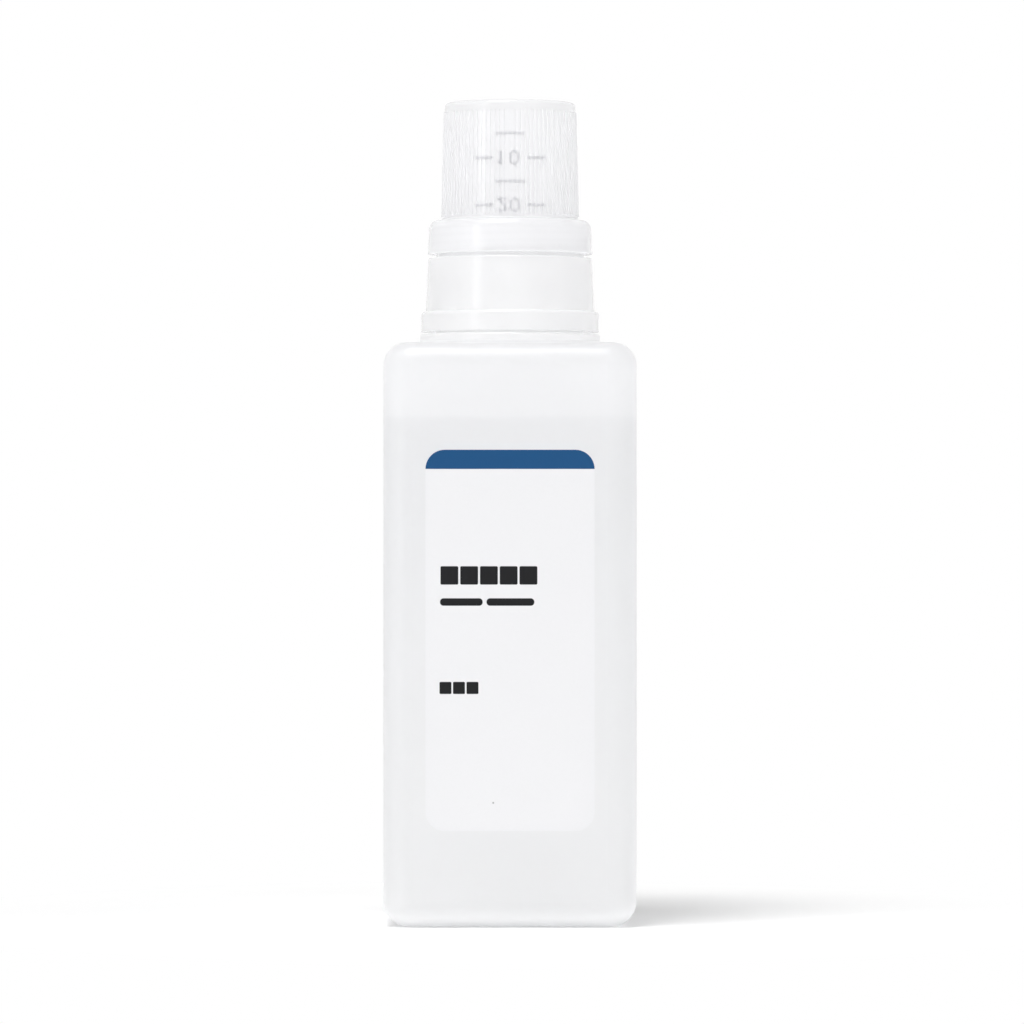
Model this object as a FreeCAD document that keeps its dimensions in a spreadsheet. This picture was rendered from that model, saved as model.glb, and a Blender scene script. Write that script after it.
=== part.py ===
import FreeCAD, Part
import os
import re

import Sketcher

# Laundry detergent bottle with a pouring collar and a measuring cup as its cap.
# Frame: millimetres, +Z up, origin on the ground under the middle of the bottle.
# The label is on the front face, towards -Y, and the spout's lip is at the back.

# Driving dimensions

sizes = {
    # Bottle
    "body_width": 65.0,
    "body_depth": 65.0,
    "shoulder_height": 150.0,
    "corner_round": 7.5,
    "shoulder_round": 6.0,
    "base_round": 6.5,
    "bottle_wall": 0.9,
    "base_recess_width": 40.0,
    "base_recess_height": 2.0,
    "base_recess_corner": 4.5,
    "base_recess_edge": 1.2,
    "pinch_length": 34.0,
    "pinch_width": 0.9,
    "pinch_height": 0.5,
    # Neck
    "shoulder_rise": 0.8,
    "shoulder_rise_reach": 2.6,
    "neck_outside": 19.0,
    "neck_wall": 1.6,
    "neck_length": 20.3,
    "neck_lip_round": 0.4,
    "bead_outside": 23.45,
    "bead_height": 1.9,
    "bead_round": 0.6,
    # Detergent
    "fill_height": 130.8,
    "fill_clearance": 0.1,
    # Label
    "label_width": 43.2,
    "label_height": 97.4,
    "label_corner": 4.9,
    "label_film": 0.1,
    "label_bottom": 24.9,
    # Pouring collar
    "collar_gap": 0.6,
    "ring_outside": 23.2,
    "ring_height": 5.3,
    "ring_round": 1.0,
    "collar_low_outside": 22.0,
    "collar_top_outside": 21.35,
    "collar_edge_round": 0.5,
    "collar_bore": 20.3,
    "collar_low_bore": 21.8,
    "collar_low_bore_height": 4.2,
    "deck_thickness": 1.5,
    "deck_fall": 0.4,
    "seat_outside": 19.2,
    "seat_wall": 1.0,
    "seat_height": 8.2,
    "seat_edge_round": 0.3,
    "plug_clearance": 0.3,
    "well_wall": 1.0,
    "well_depth": 10.2,
    "well_floor": 1.0,
    "floor_fall": 5.0,
    "floor_above_end": 0.8,
    "spout_bore": 6.6,
    "spout_wall": 1.0,
    "spout_lip_height": 10.4,
    "spout_slant": 6.5,
    "spout_slot": 3.2,
    "drain_radius": 1.6,
    "drain_inset": 2.6,
    # Measuring cap
    "cap_gap": 0.9,
    "cap_length": 39.5,
    "cup_top_outside": 17.0,
    "cup_base_outside": 17.7,
    "cup_wall": 1.05,
    "cup_floor": 1.2,
    "foot_height": 1.6,
    "foot_width": 1.9,
    "foot_round": 1.1,
    "floor_round": 1.6,
    "flange_thickness": 1.6,
    "flange_round": 2.4,
    "flange_root_round": 0.6,
    "skirt_top_outside": 21.1,
    "skirt_low_outside": 21.45,
    "skirt_bore": 20.1,
    "skirt_edge_round": 0.3,
    "rim_wall": 1.0,
    "rim_above_skirt": 0.4,
    "rim_round": 0.3,
    "rib_count": 90,
    "rib_height": 0.3,
    "rib_width": 0.6,
    "rib_root": 0.2,
    "rib_top_margin": 2.6,
    "rib_low_margin": 1.0,
}

doc = FreeCAD.newDocument("DetergentBottle")
sheet = doc.addObject("Spreadsheet::Sheet", "Sizes")
for row, (alias, number) in enumerate(sizes.items(), start=1):
    sheet.set("A%d" % row, alias)
    sheet.set("B%d" % row, str(number))
    sheet.setAlias("B%d" % row, alias)
doc.recompute()

# Heights and radii that follow from the driving dimensions

shoulder_top = "(shoulder_height + shoulder_rise)"
bead_top = "(shoulder_height + shoulder_rise + bead_height)"
neck_top = "(shoulder_height + shoulder_rise + neck_length)"
neck_bore = "(neck_outside - neck_wall)"
collar_low = "(%s + collar_gap)" % bead_top
deck_top = "(%s + deck_thickness)" % neck_top
seat_top = "(%s + seat_height)" % deck_top
seat_bore = "(seat_outside - seat_wall)"
well_outside = "(%s - plug_clearance)" % neck_bore
well_bore = "(%s - well_wall)" % well_outside
well_low = "(%s - well_depth)" % neck_top
floor_low = "(%s + floor_above_end)" % well_low
spout_outside = "(spout_bore + spout_wall)"
spout_top = "(%s + spout_lip_height)" % deck_top
skirt_low = "(%s + cap_gap)" % deck_top
cap_top = "(%s + cap_length)" % skirt_low
rim_low = "(%s + rim_above_skirt)" % skirt_low
flange_low = seat_top
flange_top = "(%s + flange_thickness)" % flange_low
cup_floor_top = "(%s - foot_height)" % cap_top
cup_floor_low = "(%s - cup_floor)" % cup_floor_top
cup_slope = "((cup_base_outside - cup_top_outside) / (%s - %s))" % (cap_top, flange_top)


def bound(words):
    """The expression with every size in it read from the sheet."""
    return re.sub(r"[a-z_]+", lambda found: "Sizes." + found.group(), words)


def worth(words):
    """The value of an expression, in millimetres."""
    return float(sheet.evalExpression(bound(words)))


# Sketches and features

planes = {"XY": "XY_Plane", "XZ": "XZ_Plane", "YZ": "YZ_Plane"}


def newBody(label):
    body = doc.addObject("PartDesign::Body", label)
    body.Label = label
    return body


def newSketch(body, name, plane, offset="0"):
    """An empty sketch on one of the body's origin planes, moved along its normal by offset."""
    sketch = body.newObject("Sketcher::SketchObject", name)
    support = [f for f in body.Origin.OriginFeatures if f.Role == planes[plane]][0]
    sketch.AttachmentSupport = [(support, "")]
    sketch.MapMode = "FlatFace"
    sketch.setExpression(".AttachmentOffset.Base.z", bound(offset))
    return sketch


def pin(sketch, line, end, across, up):
    """Holds one end of a line at a place worked out from the sheet."""
    origin, root, vertical_axis = -1, 1, -2
    if across == "0":
        sketch.addConstraint(Sketcher.Constraint("PointOnObject", line, end, vertical_axis))
    else:
        place = Sketcher.Constraint("DistanceX", origin, root, line, end, worth(across))
        sketch.setExpression("Constraints[%d]" % sketch.addConstraint(place), bound(across))
    place = Sketcher.Constraint("DistanceY", origin, root, line, end, worth(up))
    sketch.setExpression("Constraints[%d]" % sketch.addConstraint(place), bound(up))


def drawOutline(sketch, points):
    """A closed outline of straight lines through points, each a pair of expressions."""
    corners = [FreeCAD.Vector(worth(across), worth(up), 0) for across, up in points]
    lines = []
    for i, corner in enumerate(corners):
        lines.append(sketch.addGeometry(Part.LineSegment(corner, corners[(i + 1) % len(corners)])))
    first, second = 1, 2
    for i, line in enumerate(lines):
        following = lines[(i + 1) % len(lines)]
        sketch.addConstraint(Sketcher.Constraint("Coincident", line, second, following, first))
    for line, (across, up) in zip(lines, points):
        pin(sketch, line, first, across, up)


def drawCircle(sketch, radius, up="0"):
    """A circle on the sketch's vertical axis, up from its origin."""
    centre = FreeCAD.Vector(0, worth(up), 0)
    circle = sketch.addGeometry(Part.Circle(centre, FreeCAD.Vector(0, 0, 1), worth(radius)))
    middle = 3
    if up == "0":
        sketch.addConstraint(Sketcher.Constraint("Coincident", circle, middle, -1, 1))
    else:
        pin(sketch, circle, middle, "0", up)
    place = Sketcher.Constraint("Radius", circle, worth(radius))
    sketch.setExpression("Constraints[%d]" % sketch.addConstraint(place), bound(radius))


def rectangle(half_across, low, high):
    return [
        ("-" + half_across, low),
        (half_across, low),
        (half_across, high),
        ("-" + half_across, high),
    ]


def pad(body, name, sketch, length, midplane=False):
    feature = body.newObject("PartDesign::Pad", name)
    feature.Profile = sketch
    feature.setExpression("Length", bound(length))
    feature.Midplane = midplane
    sketch.Visibility = False
    doc.recompute()
    return feature


def pocket(body, name, sketch, length, reverse=False, midplane=False):
    """Cuts the sketch out of the body and makes sure that something was cut."""
    before = body.Shape.Volume
    feature = body.newObject("PartDesign::Pocket", name)
    feature.Profile = sketch
    feature.setExpression("Length", bound(length))
    feature.Reversed = reverse
    feature.Midplane = midplane
    sketch.Visibility = False
    doc.recompute()
    assert body.Shape.Volume < before, name + " cuts nothing"
    return feature


def revolve(body, name, sketch):
    feature = body.newObject("PartDesign::Revolution", name)
    feature.Profile = sketch
    feature.ReferenceAxis = (sketch, ["V_Axis"])
    feature.Angle = 360
    sketch.Visibility = False
    doc.recompute()
    return feature


def roundEdges(body, name, edges, radius):
    """Rounds the edges of the body's last feature that were found by their place."""
    assert edges, name + " finds no edge"
    last = body.Tip
    feature = body.newObject("PartDesign::Fillet", name)
    feature.Base = (last, edges)
    feature.setExpression("Radius", bound(radius))
    doc.recompute()
    assert "Invalid" not in feature.State, name + " can't be rounded"
    return feature


near = 0.01  # how far a measured edge may lie from its worked-out place


def ringEdges(body, radius, height):
    """The round edges about the vertical axis at that radius and height."""
    found = []
    for i, edge in enumerate(body.Tip.Shape.Edges, start=1):
        if not isinstance(edge.Curve, Part.Circle):
            continue
        centre = edge.Curve.Center
        on_axis = abs(centre.x) < near and abs(centre.y) < near
        level = abs(centre.z - worth(height)) < near
        if on_axis and level and abs(edge.Curve.Radius - worth(radius)) < near:
            found.append("Edge%d" % i)
    return found


def edgesAlong(body, direction):
    """The straight edges that run along X, Y or Z."""
    axis = {"X": 0, "Y": 1, "Z": 2}[direction]
    found = []
    for i, edge in enumerate(body.Tip.Shape.Edges, start=1):
        if isinstance(edge.Curve, Part.Line) and abs(abs(edge.Curve.Direction[axis]) - 1) < near:
            found.append("Edge%d" % i)
    return found


def levelEdges(body, height):
    """The edges that lie whole at one height."""
    found = []
    for i, edge in enumerate(body.Tip.Shape.Edges, start=1):
        if all(abs(point.z - worth(height)) < near for point in edge.discretize(5)):
            found.append("Edge%d" % i)
    return found


def uprightEdges(body, top):
    """The straight upright edges that end at one height."""
    found = []
    for i, edge in enumerate(body.Tip.Shape.Edges, start=1):
        upright = isinstance(edge.Curve, Part.Line) and abs(abs(edge.Curve.Direction.z) - 1) < near
        if upright and abs(max(point.Z for point in edge.Vertexes) - worth(top)) < near:
            found.append("Edge%d" % i)
    return found


def roundedBlock(body, inset, low, high, round_top):
    """An upright block with the bottle's section, drawn in by inset, with rounded corners and edges."""
    sketch = newSketch(body, "Section", "XY", low)
    half_width = "(body_width / 2 - %s)" % inset
    half_depth = "(body_depth / 2 - %s)" % inset
    drawOutline(sketch, rectangle(half_width, "-" + half_depth, half_depth))
    pad(body, "Block", sketch, "%s - %s" % (high, low))
    roundEdges(body, "Corners", edgesAlong(body, "Z"), "corner_round - %s" % inset)
    if round_top:
        roundEdges(body, "ShoulderEdge", levelEdges(body, high), "shoulder_round - %s" % inset)
    roundEdges(body, "BaseEdge", levelEdges(body, low), "base_round - %s" % inset)


def baseRecess(body, inset, low):
    """Raises the middle of the base, so that the bottle stands on a rim."""
    half = "(base_recess_width / 2 + %s)" % inset
    sketch = newSketch(body, "RecessOutline", "XY", low)
    drawOutline(sketch, rectangle(half, "-" + half, half))
    pocket(body, "Recess", sketch, "base_recess_height", reverse=True)
    ceiling = "%s + base_recess_height" % low
    roundEdges(body, "RecessCorners", uprightEdges(body, ceiling), "base_recess_corner + %s" % inset)
    ceiling_edges = levelEdges(body, ceiling)
    roundEdges(body, "RecessEdge", ceiling_edges, "base_recess_edge")


# Bottle: blown shell with a square section, a flat shoulder and a round neck

bottle_outside = newBody("bottle_outside")
roundedBlock(bottle_outside, "0", "0", "shoulder_height", True)
neck_sketch = newSketch(bottle_outside, "NeckProfile", "XZ")
drawOutline(
    neck_sketch,
    [
        ("0", "shoulder_height - shoulder_round"),
        ("bead_outside + shoulder_rise_reach", "shoulder_height - shoulder_round"),
        ("bead_outside + shoulder_rise_reach", "shoulder_height"),
        ("bead_outside", shoulder_top),
        ("bead_outside", bead_top),
        ("neck_outside", bead_top),
        ("neck_outside", neck_top),
        ("0", neck_top),
    ],
)
revolve(bottle_outside, "Neck", neck_sketch)
roundEdges(bottle_outside, "BeadEdge", ringEdges(bottle_outside, "bead_outside", bead_top), "bead_round")
roundEdges(bottle_outside, "LipEdge", ringEdges(bottle_outside, "neck_outside", neck_top), "neck_lip_round")
baseRecess(bottle_outside, "0", "0")
pinch_sketch = newSketch(bottle_outside, "PinchOutline", "XY", "base_recess_height")
drawOutline(pinch_sketch, rectangle("(pinch_length / 2)", "-pinch_width / 2", "pinch_width / 2"))
pinch = pad(bottle_outside, "PinchLine", pinch_sketch, "pinch_height")
pinch.Reversed = True

bottle_inside = newBody("bottle_inside")
roundedBlock(bottle_inside, "bottle_wall", "bottle_wall", "(shoulder_height - bottle_wall)", True)
baseRecess(bottle_inside, "bottle_wall", "bottle_wall")
mouth_sketch = newSketch(bottle_inside, "MouthProfile", "XZ")
mouth_end = "%s + neck_lip_round" % neck_top
bead_inside = "(bead_outside - bottle_wall)"
bead_ceiling = "%s - bottle_wall" % bead_top
drawOutline(
    mouth_sketch,
    [
        ("0", "shoulder_height - shoulder_round"),
        (bead_inside, "shoulder_height - shoulder_round"),
        (bead_inside, bead_ceiling),
        (neck_bore, bead_ceiling),
        (neck_bore, mouth_end),
        ("0", mouth_end),
    ],
)
revolve(bottle_inside, "Mouth", mouth_sketch)

bottle = doc.addObject("Part::Cut", "bottle")
bottle.Label = "bottle"
bottle.Base = bottle_outside
bottle.Tool = bottle_inside

# Detergent: fills the shell to its level, a hair inside the wall

detergent = newBody("detergent")
fill_inset = "(bottle_wall + fill_clearance)"
roundedBlock(detergent, fill_inset, fill_inset, "fill_height", False)
baseRecess(detergent, fill_inset, fill_inset)

# Label: film with rounded corners on the front face

label = newBody("label")
label_sketch = newSketch(label, "LabelOutline", "XZ", "body_depth / 2")
label_top = "label_bottom + label_height"
drawOutline(label_sketch, rectangle("(label_width / 2)", "label_bottom", label_top))
pad(label, "Film", label_sketch, "label_film")
roundEdges(label, "LabelCorners", edgesAlong(label, "Y"), "label_corner")

# Pouring collar: skirt over the neck, seat for the cap, drip well and spout in one moulding

pouring_collar = newBody("pouring_collar")
floor_sketch = newSketch(pouring_collar, "FloorSlope", "YZ")
drawOutline(
    floor_sketch,
    [
        ("-" + well_outside, floor_low),
        (well_outside, "%s + floor_fall" % floor_low),
        (well_outside, "%s + floor_fall + well_floor" % floor_low),
        ("-" + well_outside, "%s + well_floor" % floor_low),
    ],
)
pad(pouring_collar, "FloorPlate", floor_sketch, "2 * %s" % well_outside, midplane=True)
trim_sketch = newSketch(pouring_collar, "FloorTrim", "XY", well_low)
drawCircle(trim_sketch, "2 * %s" % well_outside)
drawCircle(trim_sketch, "%s - well_wall / 2" % well_outside)
pocket(pouring_collar, "RoundFloor", trim_sketch, "2 * well_depth", reverse=True)
collar_sketch = newSketch(pouring_collar, "CollarProfile", "XZ")
drawOutline(
    collar_sketch,
    [
        ("ring_outside", collar_low),
        ("ring_outside", "%s + ring_height" % collar_low),
        ("collar_low_outside", "%s + ring_height" % collar_low),
        ("collar_top_outside", deck_top),
        ("seat_outside", deck_top),
        ("seat_outside", seat_top),
        (seat_bore, seat_top),
        (seat_bore, deck_top),
        (well_bore, "%s - deck_fall" % deck_top),
        (well_bore, well_low),
        (well_outside, well_low),
        (well_outside, neck_top),
        ("collar_bore", neck_top),
        ("collar_bore", "%s + collar_low_bore_height" % collar_low),
        ("collar_low_bore", "%s + collar_low_bore_height" % collar_low),
        ("collar_low_bore", collar_low),
    ],
)
revolve(pouring_collar, "CollarWalls", collar_sketch)
ring_top = "%s + ring_height" % collar_low
roundEdges(pouring_collar, "RingEdge", ringEdges(pouring_collar, "ring_outside", ring_top), "ring_round")
deck_rim = ringEdges(pouring_collar, "collar_top_outside", deck_top)
roundEdges(pouring_collar, "DeckRim", deck_rim, "collar_edge_round")
seat_edges = ringEdges(pouring_collar, "seat_outside", seat_top) + ringEdges(pouring_collar, seat_bore, seat_top)
roundEdges(pouring_collar, "SeatEdges", seat_edges, "seat_edge_round")
spout_sketch = newSketch(pouring_collar, "SpoutOutline", "XY", well_low)
drawCircle(spout_sketch, spout_outside)
pad(pouring_collar, "Spout", spout_sketch, "%s - %s" % (spout_top, well_low))
slant_sketch = newSketch(pouring_collar, "SpoutSlant", "YZ")
slant_reach = "2 * " + spout_outside
drawOutline(
    slant_sketch,
    [
        (spout_outside, spout_top),
        ("-" + spout_outside, "%s - spout_slant" % spout_top),
        ("-" + slant_reach, "%s - spout_slant" % spout_top),
        ("-" + slant_reach, "%s + spout_wall" % spout_top),
        (spout_outside, "%s + spout_wall" % spout_top),
    ],
)
pocket(pouring_collar, "SlantedLip", slant_sketch, "2 * " + slant_reach, midplane=True)
bore_sketch = newSketch(pouring_collar, "SpoutBore", "XY", "%s - spout_wall" % well_low)
drawCircle(bore_sketch, "spout_bore")
pocket(pouring_collar, "Bore", bore_sketch, "%s - %s + 2 * spout_wall" % (spout_top, well_low), reverse=True)
slot_sketch = newSketch(pouring_collar, "SlotOutline", "XZ")
slot_low = "%s + floor_fall / 2" % floor_low
drawOutline(slot_sketch, rectangle("(spout_slot / 2)", slot_low, spout_top))
pocket(pouring_collar, "VentSlot", slot_sketch, spout_outside, reverse=True)
drain_sketch = newSketch(pouring_collar, "DrainOutline", "XY", well_low)
drawCircle(drain_sketch, "drain_radius", "-(%s - drain_inset)" % well_bore)
pocket(pouring_collar, "Drain", drain_sketch, "well_depth", reverse=True)

# Measuring cap: cup turned upside down, with a skirt round its mouth

measuring_cap = newBody("measuring_cap")
cap_sketch = newSketch(measuring_cap, "CapProfile", "XZ")
foot_inside = "(cup_top_outside - foot_width)"
cup_top_bore = "(cup_top_outside - cup_wall)"
cup_low_bore = "(cup_base_outside - cup_wall)"
drawOutline(
    cap_sketch,
    [
        ("0", cup_floor_top),
        (foot_inside, cup_floor_top),
        (foot_inside, cap_top),
        ("cup_top_outside", cap_top),
        ("cup_base_outside", flange_top),
        ("skirt_top_outside", flange_top),
        ("skirt_low_outside", skirt_low),
        ("skirt_bore", skirt_low),
        ("skirt_bore", flange_low),
        ("%s + rim_wall" % cup_low_bore, flange_low),
        ("%s + rim_wall" % cup_low_bore, rim_low),
        (cup_low_bore, rim_low),
        (cup_top_bore, cup_floor_low),
        ("0", cup_floor_low),
    ],
)
revolve(measuring_cap, "CapWalls", cap_sketch)
roundEdges(measuring_cap, "FootEdge", ringEdges(measuring_cap, "cup_top_outside", cap_top), "foot_round")
roundEdges(measuring_cap, "FlangeEdge", ringEdges(measuring_cap, "skirt_top_outside", flange_top), "flange_round")
roundEdges(measuring_cap, "FlangeRoot", ringEdges(measuring_cap, "cup_base_outside", flange_top), "flange_root_round")
roundEdges(measuring_cap, "CupCorner", ringEdges(measuring_cap, cup_top_bore, cup_floor_low), "floor_round")
rim_edges = ringEdges(measuring_cap, "%s + rim_wall" % cup_low_bore, rim_low)
rim_edges += ringEdges(measuring_cap, cup_low_bore, rim_low)
roundEdges(measuring_cap, "RimEdges", rim_edges, "rim_round")
skirt_edges = ringEdges(measuring_cap, "skirt_low_outside", skirt_low)
skirt_edges += ringEdges(measuring_cap, "skirt_bore", skirt_low)
roundEdges(measuring_cap, "SkirtEdges", skirt_edges, "skirt_edge_round")

# Fine upright ribs round the cup

rib_sketch = newSketch(measuring_cap, "RibProfile", "XZ")
rib_top = "(%s - rib_top_margin)" % cap_top
rib_low = "(%s + rib_low_margin)" % flange_top
wall_at_top = "(cup_top_outside + %s * rib_top_margin)" % cup_slope
wall_at_low = "(cup_base_outside - %s * rib_low_margin)" % cup_slope
drawOutline(
    rib_sketch,
    [
        ("%s - rib_root" % wall_at_low, rib_low),
        ("%s + rib_height" % wall_at_low, rib_low),
        ("%s + rib_height" % wall_at_top, rib_top),
        ("%s - rib_root" % wall_at_top, rib_top),
    ],
)
rib = pad(measuring_cap, "Rib", rib_sketch, "rib_width", midplane=True)
ribs = measuring_cap.newObject("PartDesign::PolarPattern", "Ribs")
ribs.Originals = [rib]
upright = [f for f in measuring_cap.Origin.OriginFeatures if f.Role == "Z_Axis"][0]
ribs.Axis = (upright, [""])
ribs.Angle = 360
ribs.setExpression("Occurrences", bound("rib_count"))
measuring_cap.Tip = ribs
doc.recompute()

# Checks and export

for item in doc.Objects:
    assert not {"Invalid", "Error"} & set(item.State), item.Label + " didn't recompute"
os.makedirs("parts", exist_ok=True)
for piece in (bottle, detergent, label, pouring_collar, measuring_cap):
    assert not piece.Shape.isNull() and piece.Shape.isValid(), piece.Label + " has no valid shape"
    assert len(piece.Shape.Solids) == 1, piece.Label + " isn't one solid"
    piece.Shape.exportStep("parts/%s.step" % piece.Label)
    print(piece.Label, "%.2f cm3" % (piece.Shape.Volume / 1000))
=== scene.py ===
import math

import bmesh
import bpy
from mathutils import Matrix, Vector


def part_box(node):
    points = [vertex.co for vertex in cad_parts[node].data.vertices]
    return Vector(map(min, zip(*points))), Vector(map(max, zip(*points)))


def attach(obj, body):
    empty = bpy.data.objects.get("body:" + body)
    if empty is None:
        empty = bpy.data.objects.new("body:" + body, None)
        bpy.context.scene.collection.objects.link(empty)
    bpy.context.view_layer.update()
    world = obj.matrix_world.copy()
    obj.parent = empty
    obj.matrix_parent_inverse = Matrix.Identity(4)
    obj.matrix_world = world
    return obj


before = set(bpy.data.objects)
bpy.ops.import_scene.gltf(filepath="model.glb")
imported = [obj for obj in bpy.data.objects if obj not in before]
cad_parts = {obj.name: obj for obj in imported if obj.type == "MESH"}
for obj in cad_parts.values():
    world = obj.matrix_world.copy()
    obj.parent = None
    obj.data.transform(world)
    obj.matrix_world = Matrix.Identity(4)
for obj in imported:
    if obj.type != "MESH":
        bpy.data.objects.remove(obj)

# A laundry detergent bottle of milky plastic, with a pouring collar and a
# measuring cup for a cap, on a white table under soft light.
# The bottle's own solids keep their shapes and get their finishes here.

scene = bpy.context.scene
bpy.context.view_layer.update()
mm = 0.001
white = (1.0, 1.0, 1.0)

# Where the solids are, which everything below is worked out from
liquidLow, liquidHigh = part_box("detergent")
labelLow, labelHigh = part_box("label")


# Short ways to the nodes that the materials share

def newMaterial(name):
    material = bpy.data.materials.new(name)
    material.use_nodes = True
    nodes, links = material.node_tree.nodes, material.node_tree.links
    return material, nodes, links, nodes["Principled BSDF"]


def feed(links, source, socket):
    # A socket takes a number, a colour or another node's output
    if isinstance(source, bpy.types.NodeSocket):
        links.new(source, socket)
    elif isinstance(source, tuple) and len(socket.default_value) == 4:
        socket.default_value = (*source, 1)
    else:
        socket.default_value = source


def mathOf(nodes, links, operation, *values):
    node = nodes.new("ShaderNodeMath")
    node.operation = operation
    for value, socket in zip(values, node.inputs):
        feed(links, value, socket)
    return node.outputs[0]


def vectorOf(nodes, links, operation, *values):
    node = nodes.new("ShaderNodeVectorMath")
    node.operation = operation
    for value, socket in zip(values, node.inputs):
        feed(links, value, socket)
    return node.outputs["Value" if operation == "LENGTH" else "Vector"]


def placeOf(nodes):
    return nodes.new("ShaderNodeTexCoord").outputs["Object"]


def splitPlace(nodes, links):
    split = nodes.new("ShaderNodeSeparateXYZ")
    links.new(placeOf(nodes), split.inputs["Vector"])
    return split.outputs


def heightOf(nodes, links):
    return splitPlace(nodes, links)["Z"]


def turnOf(nodes, links):
    # The angle round the bottle's axis
    place = splitPlace(nodes, links)
    return mathOf(nodes, links, "ARCTAN2", place["Y"], place["X"])


def rampOf(nodes, links, value, low, high, toLow=0.0, toHigh=1.0, smooth=True):
    ramp = nodes.new("ShaderNodeMapRange")
    ramp.interpolation_type = "SMOOTHSTEP" if smooth else "LINEAR"
    ramp.inputs["From Min"].default_value = low
    ramp.inputs["From Max"].default_value = high
    ramp.inputs["To Min"].default_value = toLow
    ramp.inputs["To Max"].default_value = toHigh
    links.new(value, ramp.inputs["Value"])
    return ramp.outputs["Result"]


def cloudsOf(nodes, links, scale, low=0.3, high=0.7, toLow=0.0, toHigh=1.0):
    noise = nodes.new("ShaderNodeTexNoise")
    noise.inputs["Scale"].default_value = scale
    noise.inputs["Detail"].default_value = 2
    links.new(placeOf(nodes), noise.inputs["Vector"])
    return rampOf(nodes, links, noise.outputs["Fac"], low, high, toLow, toHigh)


def mixColour(nodes, links, factor, first, second):
    mix = nodes.new("ShaderNodeMix")
    mix.data_type = "RGBA"
    links.new(factor, mix.inputs["Factor"])
    feed(links, first, mix.inputs["A"])
    feed(links, second, mix.inputs["B"])
    return mix.outputs["Result"]


def timesColour(nodes, links, first, second):
    mix = nodes.new("ShaderNodeMix")
    mix.data_type = "RGBA"
    mix.blend_type = "MULTIPLY"
    mix.inputs["Factor"].default_value = 1
    links.new(first, mix.inputs["A"])
    links.new(second, mix.inputs["B"])
    return mix.outputs["Result"]


def dulled(colour, share):
    return tuple(part * share for part in colour)


def blendShaders(nodes, links, first, second, share):
    mix = nodes.new("ShaderNodeMixShader")
    feed(links, share, mix.inputs["Fac"])
    links.new(first, mix.inputs[1])
    links.new(second, mix.inputs[2])
    return mix.outputs[0]


def showSurface(nodes, links, surface):
    links.new(surface, nodes["Material Output"].inputs["Surface"])


def letThrough(nodes, links, shader, colour, share, straight=0.0, leavingClear=0.96):
    # Milky plastic: part of the light comes out on the far side of each wall
    glow = nodes.new("ShaderNodeBsdfTranslucent")
    links.new(colour, glow.inputs["Color"])
    surface = blendShaders(nodes, links, shader.outputs[0], glow.outputs[0], share)
    if straight:
        # Light that is in a wall already leaves it without being spread again
        clear = nodes.new("ShaderNodeBsdfTransparent")
        links.new(colour, clear.inputs["Color"])
        side = nodes.new("ShaderNodeNewGeometry").outputs["Backfacing"]
        leaving = rampOf(nodes, links, side, 0.0, 1.0, straight, leavingClear, smooth=False)
        surface = blendShaders(nodes, links, surface, clear.outputs[0], leaving)
    return surface


def addGloss(nodes, links, surface, roughness, ior):
    # On the outer side of each face only, so that no light is caught within a wall
    fresnel = nodes.new("ShaderNodeFresnel")
    fresnel.inputs["IOR"].default_value = ior
    side = nodes.new("ShaderNodeNewGeometry").outputs["Backfacing"]
    outer = mathOf(nodes, links, "SUBTRACT", 1.0, side)
    share = mathOf(nodes, links, "MULTIPLY", fresnel.outputs[0], outer)
    gloss = nodes.new("ShaderNodeBsdfGlossy")
    gloss.inputs["Color"].default_value = (*white, 1)
    links.new(roughness, gloss.inputs["Roughness"])
    return blendShaders(nodes, links, surface, gloss.outputs[0], share)


# Camera and light

camera = {
    "distance": 1.6,      # in front of the bottle's axis, with a long lens
    "height": 0.1064,     # eye level, half way up the bottle
    "aside": 0.0005,
    "lens": 215.7,        # mm, on the sensor below
    "sensor": 36.0,
    "reach": 100,
}
studio = {
    "dome": (0.95, 1.2, 0.21),    # light from in front, from behind and from above
    "domeTurn": 0.5,              # how far round the front passes into the back
    "domeRise": (0.2, 0.8),       # how far up the dome the top begins and is whole
    "background": 1.0,            # what shows behind the bottle, also in gloss
    "sides": 0.8,                 # what gloss and clear plastic show elsewhere
    "backdropEdge": (0.92, 0.975),
    "aim": (0.0, 0.0, 0.09),
    "mirrored": ("keySoftbox", "stripSoftbox"),    # those that show as highlights
    "softboxes": {                # watts, width and height, place
        "keySoftbox": (20.1, (0.7, 1.1), (-0.31, -0.55, 1.78)),
        "frontSoftbox": (6.0, (1.2, 1.0), (0.35, -1.9, 0.3)),
        "stripSoftbox": (3.6, (0.2, 1.3), (-1.15, -1.03, 0.45)),
        "fillSoftbox": (5.0, (0.6, 1.3), (1.5, -0.5, 0.5)),
    },
}


def setCamera():
    data = bpy.data.cameras.new("photoCamera")
    data.lens = camera["lens"]
    data.sensor_width = camera["sensor"]
    data.clip_end = camera["reach"]
    cam = bpy.data.objects.new("photoCamera", data)
    cam.location = (camera["aside"], -camera["distance"], camera["height"])
    cam.rotation_euler = (math.radians(90), 0, 0)
    scene.collection.objects.link(cam)
    scene.camera = cam


def addSoftbox(name, power, size, place):
    data = bpy.data.lights.new(name, "AREA")
    data.shape = "RECTANGLE"
    data.size, data.size_y = size
    data.energy = power
    lamp = bpy.data.objects.new(name, data)
    lamp.location = place
    aim = Vector(studio["aim"]) - Vector(place)
    lamp.rotation_euler = aim.to_track_quat("-Z", "Y").to_euler()
    lamp.visible_glossy = name in studio["mirrored"]
    scene.collection.objects.link(lamp)


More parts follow.
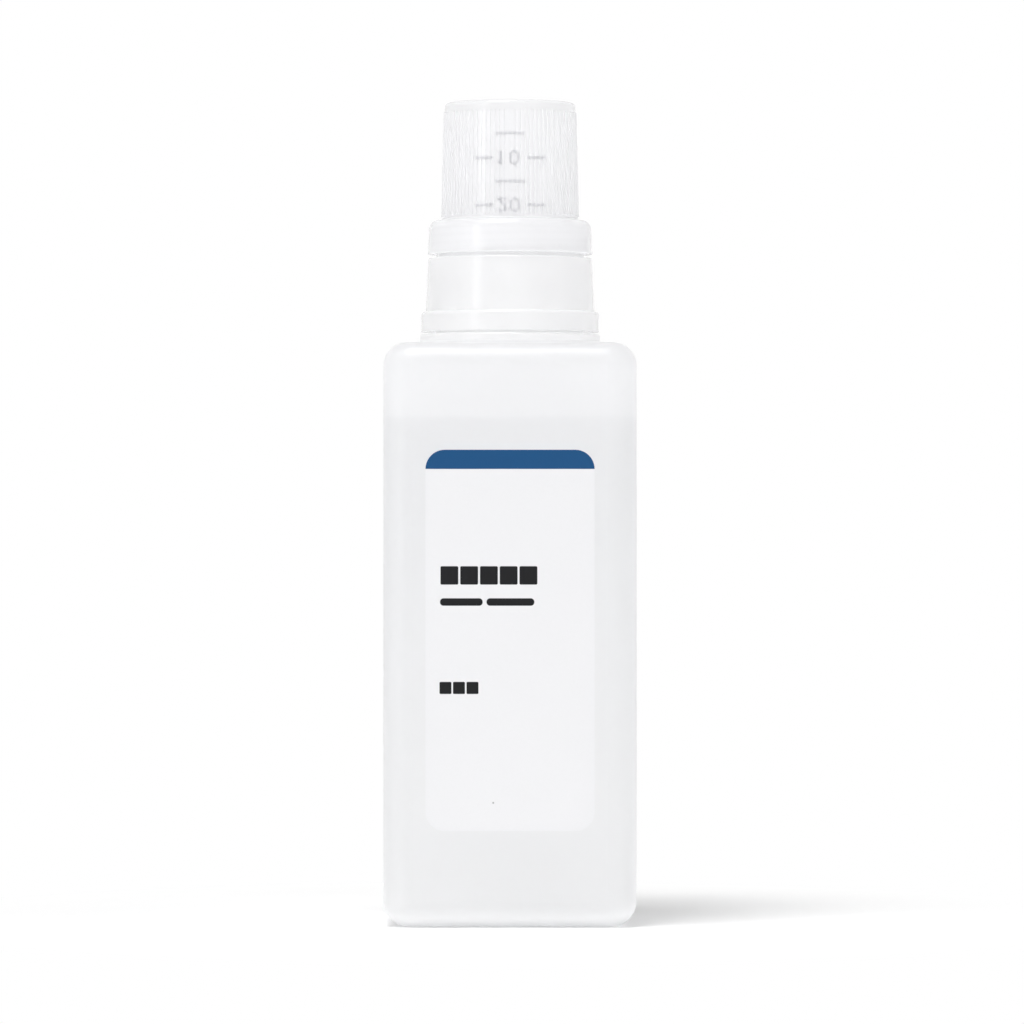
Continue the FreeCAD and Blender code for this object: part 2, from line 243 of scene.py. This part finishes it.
def setWorld():
    world = bpy.data.worlds.new("studioWorld")
    world.use_nodes = True
    nodes, links = world.node_tree.nodes, world.node_tree.links
    nodes.clear()
    split = nodes.new("ShaderNodeSeparateXYZ")
    links.new(nodes.new("ShaderNodeTexCoord").outputs["Generated"], split.inputs["Vector"])
    toBack, upward = split.outputs["Y"], split.outputs["Z"]

    # What lights the bottle: a tent, strong low down and weak overhead
    front, back, above = studio["dome"]
    turn = studio["domeTurn"]
    level = nodes.new("ShaderNodeMix")
    links.new(rampOf(nodes, links, upward, *studio["domeRise"]), level.inputs["Factor"])
    links.new(rampOf(nodes, links, toBack, -turn, turn, front, back), level.inputs["A"])
    level.inputs["B"].default_value = above
    tent = nodes.new("ShaderNodeBackground")
    tent.inputs["Color"].default_value = (*white, 1)
    links.new(level.outputs["Result"], tent.inputs["Strength"])

    # What is seen: a white backdrop, with dimmer sides in gloss and clear plastic
    path = nodes.new("ShaderNodeLightPath").outputs
    backdrop = rampOf(nodes, links, toBack, *studio["backdropEdge"], studio["sides"], studio["background"])
    seen = nodes.new("ShaderNodeBackground")
    seen.inputs["Color"].default_value = (*white, 1)
    strength = mathOf(nodes, links, "MAXIMUM", backdrop, path["Is Camera Ray"])
    links.new(strength, seen.inputs["Strength"])
    shown = mathOf(nodes, links, "MAXIMUM", path["Is Camera Ray"], path["Is Glossy Ray"])
    shown = mathOf(nodes, links, "MAXIMUM", shown, path["Is Transmission Ray"])
    surface = blendShaders(nodes, links, tent.outputs[0], seen.outputs[0], shown)
    links.new(surface, nodes.new("ShaderNodeOutputWorld").inputs["Surface"])
    scene.world = world


setCamera()
for name, softbox in studio["softboxes"].items():
    addSoftbox(name, *softbox)
setWorld()
scene.view_settings.view_transform = "Standard"
print("camera and light are set")


# The bottle's wall: natural polyethylene

wallLook = {
    # painted light: the neck and its bead are painted lighter, to make up for the shade under and inside the
    # collar
    "neck": (0.994, 0.994, 0.995),
    "neckPaintedLightReach": (150.3 * mm, 150.9 * mm),
    "dry": (0.963, 0.964, 0.97),
    "wet": (0.948, 0.95, 0.957),          # just under the liquid's level
    "wetPaintedLightLow": (0.993, 0.994, 0.998),      # painted light: lighter towards the base, making up for the weaker light near the floor
    "paintedBaseLightReach": (4 * mm, 130 * mm),
    "levelBlur": 0.6 * mm,
    "shoulder": 0.962,                    # painted shade: darker on the shoulder, toning down the strong light from above
    "shoulderReach": (142 * mm, 150 * mm),
    "cloud": 0.995,
    "cloudScale": 45,
    "roughness": (0.3, 0.36),
    "roughScale": 300,
    "through": 0.6,
    "straight": 0.12,
    "ior": 1.46,
}


def polyethyleneMaterial():
    look = wallLook
    material, nodes, links, shader = newMaterial("naturalPolyethylene")
    height = heightOf(nodes, links)
    level, blur = liquidHigh.z, look["levelBlur"]
    overLevel = rampOf(nodes, links, height, level - blur, level + blur)
    upFromPaintedBaseLight = rampOf(nodes, links, height, *look["paintedBaseLightReach"], smooth=False)
    upShoulderShade = rampOf(nodes, links, height, *look["shoulderReach"])
    upNeckPaintedLight = rampOf(nodes, links, height, *look["neckPaintedLightReach"])
    # painted light, fading from the base up the wall
    wet = mixColour(nodes, links, upFromPaintedBaseLight, look["wetPaintedLightLow"], look["wet"])
    # painted shade on the shoulder
    dry = mixColour(nodes, links, upShoulderShade, look["dry"], dulled(look["dry"], look["shoulder"]))
    # painted light on the neck and its bead
    dry = mixColour(nodes, links, upNeckPaintedLight, dry, look["neck"])
    clouds = cloudsOf(nodes, links, look["cloudScale"])
    cloudy = mixColour(nodes, links, clouds, white, dulled(white, look["cloud"]))
    colour = timesColour(nodes, links, mixColour(nodes, links, overLevel, wet, dry), cloudy)
    links.new(colour, shader.inputs["Base Color"])
    roughness = cloudsOf(nodes, links, look["roughScale"], 0.3, 0.7, *look["roughness"])
    links.new(roughness, shader.inputs["Roughness"])
    shader.inputs["Specular IOR Level"].default_value = 0
    surface = letThrough(nodes, links, shader, colour, look["through"], look["straight"])
    showSurface(nodes, links, addGloss(nodes, links, surface, roughness, look["ior"]))
    return material


# The collar and the cap: natural polypropylene

closureLook = {
    "cap": (0.99, 0.99, 0.996),
    # painted light: the collar is the cap's plastic made lighter, to make up for the shade of the parts
    # inside it
    "collar": (0.997, 0.997, 1.0),
    "cloud": 0.998,
    "cloudScale": 40,
    "ring": 0.987,                        # the collar's thick grip ring
    "ringReach": (158.3 * mm, 158.8 * mm),
    "thread": 0.988,                      # painted shade of the skirt's inner thread, as it shows through
    "threadFoot": (173.6 * mm, 174.6 * mm),
    "threadHead": (179.6 * mm, 181.2 * mm),
    "threadPitch": 2.1 * mm,
    "threadEdge": (-0.4, 0.9),            # of the wave that draws it
    "cup": 0.973,                         # painted shade: the cup and its flange darker than the skirt, toning down the strong light on them
    "cupShadeReach": (179.3 * mm, 180.6 * mm),
    "foot": 0.96,                         # the cup's thick foot, darker also as painted shade against the strong light from above
    "footShadeReach": (209.6 * mm, 210.6 * mm),
    "roughness": (0.2, 0.26),
    "roughScale": 60,
    "clear": 0.08,
    "through": 0.52,
    "straight": 0.2,
    "ior": 1.49,
}


def paintedThreadShade(nodes, links):
    # Painted shade: a darker helix where the skirt has its thread inside, for how the thicker plastic there
    # shows through
    look = closureLook
    height = heightOf(nodes, links)
    rise = mathOf(nodes, links, "MULTIPLY", height, math.tau / look["threadPitch"])
    phase = mathOf(nodes, links, "SUBTRACT", rise, turnOf(nodes, links))
    crest = rampOf(nodes, links, mathOf(nodes, links, "SINE", phase), *look["threadEdge"])
    foot = rampOf(nodes, links, height, *look["threadFoot"])
    head = rampOf(nodes, links, height, *look["threadHead"], 1.0, 0.0)
    share = mathOf(nodes, links, "MULTIPLY", foot, head)
    share = mathOf(nodes, links, "MULTIPLY", crest, share)
    return mixColour(nodes, links, share, white, dulled(white, look["thread"]))


def polypropyleneMaterial(name, tone):
    look = closureLook
    material, nodes, links, shader = newMaterial(name)
    height = heightOf(nodes, links)
    clouds = cloudsOf(nodes, links, look["cloudScale"], 0.2, 0.8)
    colour = mixColour(nodes, links, clouds, tone, dulled(tone, look["cloud"]))
    upRing = rampOf(nodes, links, height, *look["ringReach"])
    upCupShade = rampOf(nodes, links, height, *look["cupShadeReach"])
    upFootShade = rampOf(nodes, links, height, *look["footShadeReach"])
    # painted shade on the foot, the cup and the skirt's thread, with the grip ring darker
    for shade in (
        mixColour(nodes, links, upFootShade, white, dulled(white, look["foot"])),
        mixColour(nodes, links, upCupShade, white, dulled(white, look["cup"])),
        mixColour(nodes, links, upRing, dulled(white, look["ring"]), white),
        paintedThreadShade(nodes, links),
    ):
        colour = timesColour(nodes, links, colour, shade)
    links.new(colour, shader.inputs["Base Color"])
    roughness = cloudsOf(nodes, links, look["roughScale"], 0.2, 0.8, *look["roughness"])
    links.new(roughness, shader.inputs["Roughness"])
    shader.inputs["Transmission Weight"].default_value = look["clear"]
    shader.inputs["IOR"].default_value = look["ior"]
    shader.inputs["Specular IOR Level"].default_value = 0
    surface = letThrough(nodes, links, shader, colour, look["through"], look["straight"])
    showSurface(nodes, links, addGloss(nodes, links, surface, roughness, look["ior"]))
    return material


# The detergent

liquidLook = {
    "tint": (0.985, 0.99, 0.995),
    "swirl": 0.99,
    "swirlScale": 20,
    "clear": 1.0,
    "straight": 0.75,
    "roughness": 0.05,
    "ior": 1.15,
}


def liquidMaterial():
    look = liquidLook
    material, nodes, links, shader = newMaterial("clearDetergent")
    swirl = cloudsOf(nodes, links, look["swirlScale"])
    tint = mixColour(nodes, links, swirl, look["tint"], dulled(look["tint"], look["swirl"]))
    links.new(tint, shader.inputs["Base Color"])
    shader.inputs["Roughness"].default_value = look["roughness"]
    shader.inputs["Transmission Weight"].default_value = look["clear"]
    shader.inputs["IOR"].default_value = look["ior"]
    straight = nodes.new("ShaderNodeBsdfTransparent")
    surface = blendShaders(nodes, links, shader.outputs[0], straight.outputs[0], look["straight"])
    showSurface(nodes, links, surface)
    return material


# The label

filmLook = {
    # painted light: the film is painted lighter towards its foot
    "paper": (0.88, 0.88, 0.892),
    "paperPaintedLightLow": (0.895, 0.895, 0.907),
    "grain": 0.992,
    "grainScale": 1500,
    "band": (0.009, 0.087, 0.24),
    "bandDepth": 4.9 * mm,
    "ink": (0.012, 0.012, 0.014),
    "speck": (0.5, 0.5, 0.5),
    "edge": 0.06 * mm,                    # how soft the edges of the print are
    "shine": 0.25,
    "roughness": (0.42, 0.5),
    "roughScale": 900,
    "through": 0.25,
}
# Plain printed shapes: middle across and up, width, height and corner, in mm
printRows = (
    # shapes in the row, first middle, step between them, then as above
    (5, -15.5, 5.05, 90.2, 4.55, 4.7, 0.35),
    (1, -12.45, 0, 83.4, 10.9, 1.9, 0.9),
    (1, 0.1, 0, 83.4, 12.2, 1.9, 0.9),
    (3, -16.5, 3.45, 61.45, 3.05, 3.1, 0.3),
)
smallSpeck = (-4.3, 32.1, 0.5, 0.5, 0.25)


def shapeMask(nodes, links, across, up, width, height, corner):
    middle = (across * mm, 0, up * mm)
    half = ((width / 2 - corner) * mm, 1, (height / 2 - corner) * mm)
    away = vectorOf(nodes, links, "SUBTRACT", placeOf(nodes), middle)
    beyond = vectorOf(nodes, links, "SUBTRACT", vectorOf(nodes, links, "ABSOLUTE", away), half)
    outside = vectorOf(nodes, links, "MAXIMUM", beyond, (0, 0, 0))
    reach = vectorOf(nodes, links, "LENGTH", outside)
    edge, soft = corner * mm, filmLook["edge"]
    return rampOf(nodes, links, reach, edge - soft, edge + soft, 1.0, 0.0)


def filmMaterial():
    look = filmLook
    material, nodes, links, shader = newMaterial("labelFilm")
    height = heightOf(nodes, links)
    upFilmPaintedLight = rampOf(nodes, links, height, labelLow.z, labelHigh.z, smooth=False)
    # painted light, lighter towards the film's foot
    paper = mixColour(nodes, links, upFilmPaintedLight, look["paperPaintedLightLow"], look["paper"])
    grain = cloudsOf(nodes, links, look["grainScale"])
    grainy = mixColour(nodes, links, grain, white, dulled(white, look["grain"]))
    colour = timesColour(nodes, links, paper, grainy)
    bandEdge, soft = labelHigh.z - look["bandDepth"], look["edge"]
    inBand = rampOf(nodes, links, height, bandEdge - soft, bandEdge + soft)
    colour = mixColour(nodes, links, inBand, colour, look["band"])
    for count, first, step, *shape in printRows:
        for place in range(count):
            mask = shapeMask(nodes, links, first + step * place, *shape)
            colour = mixColour(nodes, links, mask, colour, look["ink"])
    colour = mixColour(nodes, links, shapeMask(nodes, links, *smallSpeck), colour, look["speck"])
    links.new(colour, shader.inputs["Base Color"])
    roughness = cloudsOf(nodes, links, look["roughScale"], 0.3, 0.7, *look["roughness"])
    links.new(roughness, shader.inputs["Roughness"])
    shader.inputs["Specular IOR Level"].default_value = look["shine"]
    showSurface(nodes, links, letThrough(nodes, links, shader, colour, look["through"]))
    return material


bottlePlastic = polyethyleneMaterial()
# painted light: the collar's copy of the plastic is made lighter
lightenedCollarPlastic = polypropyleneMaterial("collarPolypropyleneLightened", closureLook["collar"])
capPlastic = polypropyleneMaterial("capPolypropylene", closureLook["cap"])
for node, material in (
    ("bottle", bottlePlastic),
    ("detergent", liquidMaterial()),
    ("label", filmMaterial()),
    ("pouring_collar", lightenedCollarPlastic),
    ("measuring_cap", capPlastic),
):
    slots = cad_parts[node].data.materials
    slots.clear()
    slots.append(material)
print("the solids have their materials")


# Threads

neckThread = {
    "wall": 19.0 * mm,               # radius of the cylinder that it stands on
    "height": 0.6 * mm,
    "low": 159.4 * mm,
    "pitch": 4.0 * mm,
    "turns": 2.2,
    "start": 200,                    # degrees
    "width": (1.5 * mm, 0.7 * mm),   # at the foot and at the crest
}
collarThread = {
    "wall": 20.3 * mm,
    "height": -0.55 * mm,            # inwards
    "low": 158.6 * mm,
    "pitch": 4.0 * mm,
    "turns": 1.6,
    "start": 90,
    "width": (1.3 * mm, 0.6 * mm),
}
seatThread = {
    "wall": 19.2 * mm,
    "height": 0.4 * mm,
    "low": 174.4 * mm,
    "pitch": 2.9 * mm,
    "turns": 1.7,
    "start": 240,
    "width": (1.2 * mm, 0.6 * mm),
}
capThread = {
    "wall": 20.1 * mm,
    "height": -0.4 * mm,
    "low": 175.6 * mm,
    "pitch": 1.3 * mm,
    "turns": 1.9,
    "start": 180,
    "width": (0.8 * mm, 0.4 * mm),
}
threadShape = {
    "steps": 120,                    # in one turn
    "run": 18,                       # degrees over which each end rises out of the wall
    "root": 0.15 * mm,               # how deep its foot is in the wall
    "sharp": 35,                     # degrees, edges over this stay crisp
}
around = ((0, 1), (1, 2), (2, 3), (3, 0))    # the sides of a profile with four corners


def addPiece(name, form, material, body):
    bmesh.ops.recalc_face_normals(form, faces=form.faces)
    mesh = bpy.data.meshes.new(name)
    form.to_mesh(mesh)
    form.free()
    mesh.materials.append(material)
    piece = bpy.data.objects.new(name, mesh)
    scene.collection.objects.link(piece)
    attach(piece, body)
    return piece


def joinRows(form, rows, closed=False):
    for first, second in zip(rows, rows[1:] + (rows[:1] if closed else [])):
        for a, b in around:
            form.faces.new((first[a], first[b], second[b], second[a]))
    if not closed:
        form.faces.new(rows[0])
        form.faces.new(rows[-1][::-1])


def makeThread(name, look, material, body):
    sign = 1 if look["height"] > 0 else -1
    root = look["wall"] - sign * threadShape["root"]
    crestReach = look["wall"] + look["height"]
    foot, crest = look["width"]
    whole = 360 * look["turns"]
    steps = round(threadShape["steps"] * look["turns"])
    form = bmesh.new()
    rows = []
    for step in range(steps + 1):
        turned = whole * step / steps
        toEnd = min(turned, whole - turned) / threadShape["run"]
        rise = math.sin(math.radians(90) * min(1.0, toEnd))
        reach = root + (crestReach - root) * rise
        angle = math.radians(look["start"] + turned)
        height = look["low"] + look["pitch"] * turned / 360
        profile = ((root, -foot / 2), (reach, -crest / 2), (reach, crest / 2), (root, foot / 2))
        rows.append([
            form.verts.new((out * math.cos(angle), out * math.sin(angle), height + up))
            for out, up in profile])
    joinRows(form, rows)
    piece = addPiece(name, form, material, body)
    piece.data.shade_smooth()
    piece.data.set_sharp_from_angle(angle=math.radians(threadShape["sharp"]))


makeThread("neckThread", neckThread, bottlePlastic, "bottle_body")
makeThread("collarThread", collarThread, lightenedCollarPlastic, "collar_body")
makeThread("seatThread", seatThread, lightenedCollarPlastic, "collar_body")
makeThread("capThread", capThread, capPlastic, "cap_body")
print("the threads are cut")


# The cup's measuring scale, raised between its ribs and painted grey as shade

cupScale = {
    "low": (182.4 * mm, 17.7 * mm),       # height and radius of the wall at its foot
    "high": (213.0 * mm, 17.0 * mm),
    "sink": 0.1 * mm,
    "proud": 0.33 * mm,
    "line": 0.7 * mm,
    "stroke": 0.62 * mm,
    "digitHeight": 3.9 * mm,
    "digitWidth": 2.75 * mm,
    "step": 0.3 * mm,                     # between points along a stroke
    # painted shade: the marks are the cup's own plastic, painted grey for how they darken, and lighter where
    # they cross a rib
    "colour": (0.74, 0.74, 0.76),
    "onRibPaintedLight": (0.82, 0.82, 0.83),
    "ribs": 90,
    "ribEdge": (0.0, 0.9),                # of the wave that follows the ribs
    "roughScale": 800,
    "through": 0.5,
}
scaleLines = [            # height, and where it starts and ends across, in mm
    (204.2, -3.6, 3.7), (191.8, -3.6, 3.7),
    (197.9, -9.3, -4.7), (197.9, 4.5, 9.5),
    (185.7, -9.3, -4.7), (185.7, 4.5, 9.5),
]
scaleDigits = [           # digit, middle across and middle height in mm
    ("1", -2.55, 197.9), ("0", 1.1, 197.9),
    ("2", -2.1, 185.7), ("0", 1.2, 185.7),
]


def scaleShadeMaterial():
    look = cupScale
    material, nodes, links, shader = newMaterial("scaleMarkPaintedShade")
    # painted shade, lighter on each rib
    wave = mathOf(nodes, links, "MULTIPLY", turnOf(nodes, links), look["ribs"])
    onRibPaintedLight = rampOf(nodes, links, mathOf(nodes, links, "COSINE", wave), *look["ribEdge"])
    colour = mixColour(nodes, links, onRibPaintedLight, look["colour"], look["onRibPaintedLight"])
    links.new(colour, shader.inputs["Base Color"])
    roughness = cloudsOf(nodes, links, look["roughScale"], 0.3, 0.7, *closureLook["roughness"])
    links.new(roughness, shader.inputs["Roughness"])
    shader.inputs["IOR"].default_value = closureLook["ior"]
    showSurface(nodes, links, letThrough(nodes, links, shader, colour, look["through"]))
    return material


def onCup(across, height, out):
    lowZ, lowR = cupScale["low"]
    highZ, highR = cupScale["high"]
    wall = lowR + (highR - lowR) * (height - lowZ) / (highZ - lowZ)
    angle = across / wall
    return ((wall + out) * math.sin(angle), -(wall + out) * math.cos(angle), height)


def digitStroke(digit):
    # Its middle line, in a box two wide and two high
    if digit == "1":
        return [(-0.55, 0.5), (0.1, 1.0), (0.1, -1.0)], False
    if digit == "0":
        turns = [math.tau * step / 28 for step in range(28)]
        # Slightly squarer than an ellipse
        return [(0.9 * math.copysign(abs(math.cos(t)) ** 0.8, math.cos(t)), math.sin(t)) for t in turns], True
    turns = [math.radians(degrees) for degrees in range(165, -36, -15)]
    arc = [(0.85 * math.cos(t), 0.42 + 0.58 * math.sin(t)) for t in turns]
    return arc + [(-0.9, -1.0), (0.95, -1.0)], False


def dense(line):
    points = [Vector(line[0])]
    for start, end in zip(line, line[1:]):
        start, end = Vector(start), Vector(end)
        parts = max(1, math.ceil((end - start).length / cupScale["step"]))
        points += [start.lerp(end, part / parts) for part in range(1, parts + 1)]
    return points


def addStrip(form, line, width, closed=False):
    sink, proud = -cupScale["sink"], cupScale["proud"]
    last = len(line) - 1
    rows = []
    for place, point in enumerate(line):
        before = line[place - 1] if place or closed else point
        after = line[(place + 1) % len(line)] if place < last or closed else point
        along = (after - before).normalized()
        side = Vector((-along.y, along.x)) * width / 2
        left, right = point + side, point - side
        profile = ((left, sink), (left, proud), (right, proud), (right, sink))
        rows.append([form.verts.new(onCup(p.x, p.y, out)) for p, out in profile])
    joinRows(form, rows, closed)


def makeScale():
    form = bmesh.new()
    for height, start, end in scaleLines:
        line = dense([(start * mm, height * mm), (end * mm, height * mm)])
        addStrip(form, line, cupScale["line"])
    # The digits read from inside the upright cup, so here they stand on their heads
    halfWide = (cupScale["digitWidth"] - cupScale["stroke"]) / 2
    halfHigh = (cupScale["digitHeight"] - cupScale["stroke"]) / 2
    for digit, across, height in scaleDigits:
        line, closed = digitStroke(digit)
        placed = [(across * mm + u * halfWide, height * mm - v * halfHigh) for u, v in line]
        points = [Vector(p) for p in placed] if closed else dense(placed)
        addStrip(form, points, cupScale["stroke"], closed)
    addPiece("cupScale", form, scaleShadeMaterial(), "cap_body")


makeScale()
print("the cup's scale stands")


# Floor

floorLook = {
    "size": 6.0,
    "colour": (0.969, 0.969, 0.969),
    "shadowReach": (0.085, 0.165),    # beyond this the camera sees plain white
    "drop": 0.05 * mm,
}


def makeFloor():
    mesh = bpy.data.meshes.new("studioFloor")
    half = floorLook["size"] / 2
    corners = [(-half, -half, 0), (half, -half, 0), (half, half, 0), (-half, half, 0)]
    mesh.from_pydata(corners, [], [(0, 1, 2, 3)])
    floor = bpy.data.objects.new("studioFloor", mesh)
    floor.location.z = -floorLook["drop"]
    scene.collection.objects.link(floor)
    material, nodes, links, shader = newMaterial("studioFloor")
    shader.inputs["Base Color"].default_value = (*floorLook["colour"], 1)
    shader.inputs["Roughness"].default_value = 1
    shader.inputs["Specular IOR Level"].default_value = 0
    plain = nodes.new("ShaderNodeEmission")
    away = vectorOf(nodes, links, "LENGTH", placeOf(nodes))
    beyond = rampOf(nodes, links, away, *floorLook["shadowReach"])
    seen = nodes.new("ShaderNodeLightPath").outputs["Is Camera Ray"]
    share = mathOf(nodes, links, "MULTIPLY", beyond, seen)
    surface = blendShaders(nodes, links, shader.outputs[0], plain.outputs[0], share)
    showSurface(nodes, links, surface)
    mesh.materials.append(material)


makeFloor()
print("the floor is laid")
